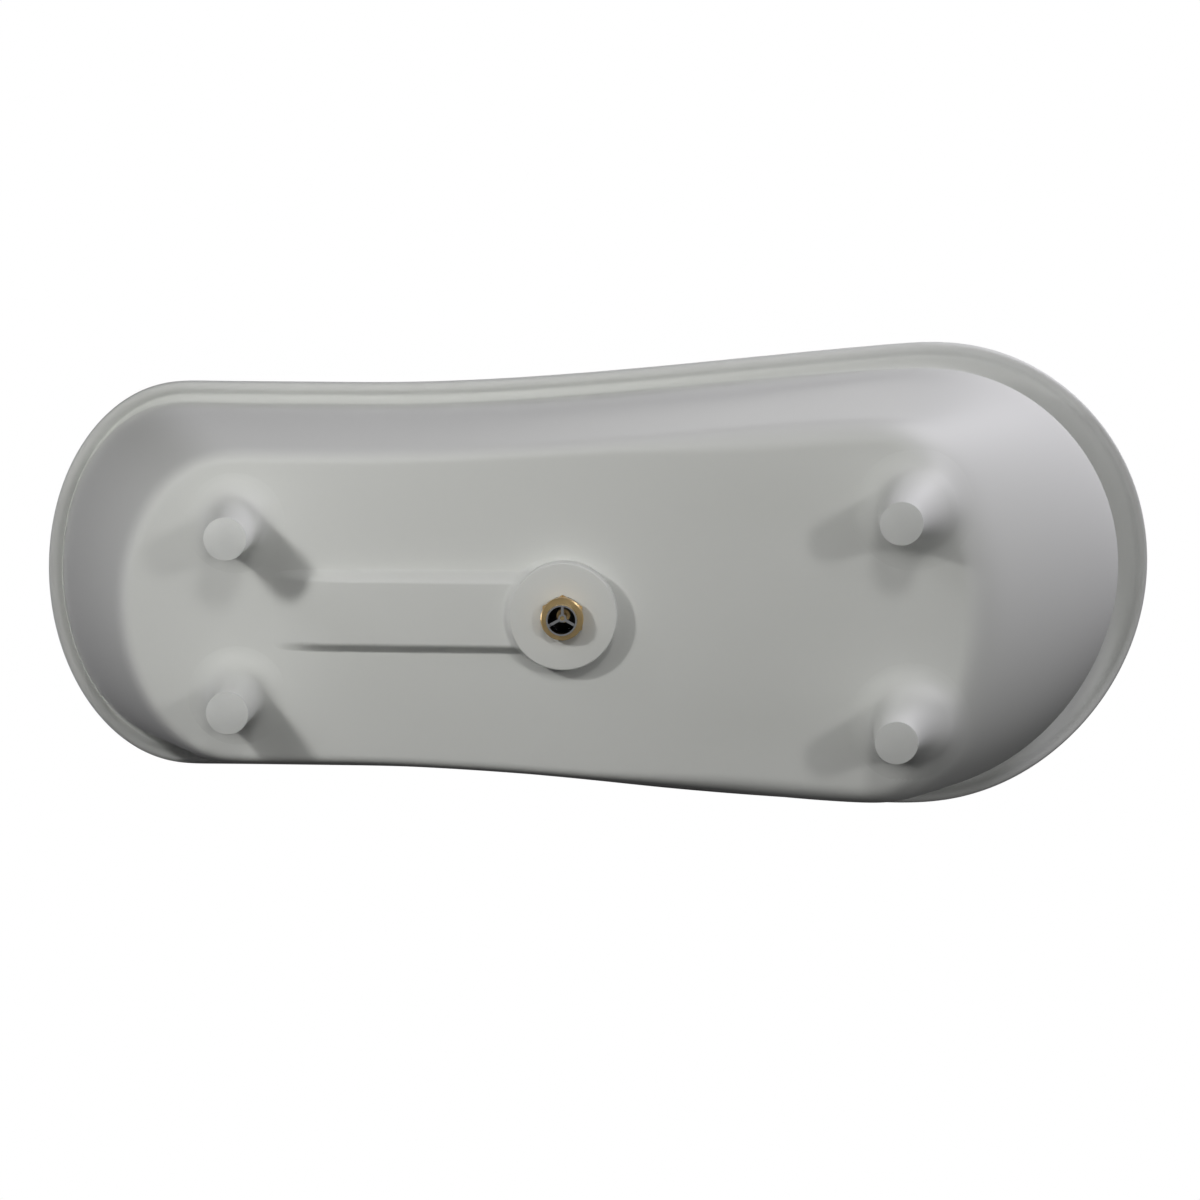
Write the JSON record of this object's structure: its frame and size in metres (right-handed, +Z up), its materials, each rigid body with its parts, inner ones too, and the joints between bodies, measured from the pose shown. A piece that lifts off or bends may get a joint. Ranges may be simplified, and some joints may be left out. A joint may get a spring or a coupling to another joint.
{
  "type": "slipper bathtub",
  "caption": "Freestanding single-slipper bath with a rolled rim, moulded legs, an under-base overflow channel and a click-clack waste.",
  "frame": {"origin": "centre of the bath's footprint, on the floor", "axes": "+Z up, +X along the bath towards the raised head end, +Y to the side; the XZ plane is the plane of symmetry"},
  "size_m": [1.7002, 0.7128, 0.8002],
  "materials": {
    "cast_stone": "smooth satin off-white cast resin stone",
    "pad": "matt pale grey",
    "chrome": "polished plating",
    "brass": "turned, unpolished",
    "rubber": "matt black",
    "nylon": "off-white moulded",
    "spring_steel": "drawn wire"
  },
  "bodies": {
    "bath": {"bath_body": "cast_stone", "drain_boss": "cast_stone", "overflow_channel_cover": "cast_stone", "waste_body": "chrome", "flange_gasket": "rubber", "under_washer": "rubber", "slip_washer": "nylon", "lock_nut": "brass", "coupling_nut": "brass", "tailpiece": "chrome", "tail_seal": "rubber", "cartridge_barrel": "brass", "guide_bush": "brass", "click_spring": "spring_steel", "foot_end_left_pad": "pad", "foot_end_right_pad": "pad", "head_end_left_pad": "pad", "head_end_right_pad": "pad"},
    "stopper": {"stopper_cap": "chrome", "stopper_seal": "rubber", "plunger": "brass", "latch_cam": "nylon"}
  },
  "joints": [
    {"name": "stopper_lift", "type": "slide", "parent": "bath", "child": "stopper", "axis": [0, 0, 1], "range_m": [0, 0.01], "deforming": ["click_spring"]}
  ]
}
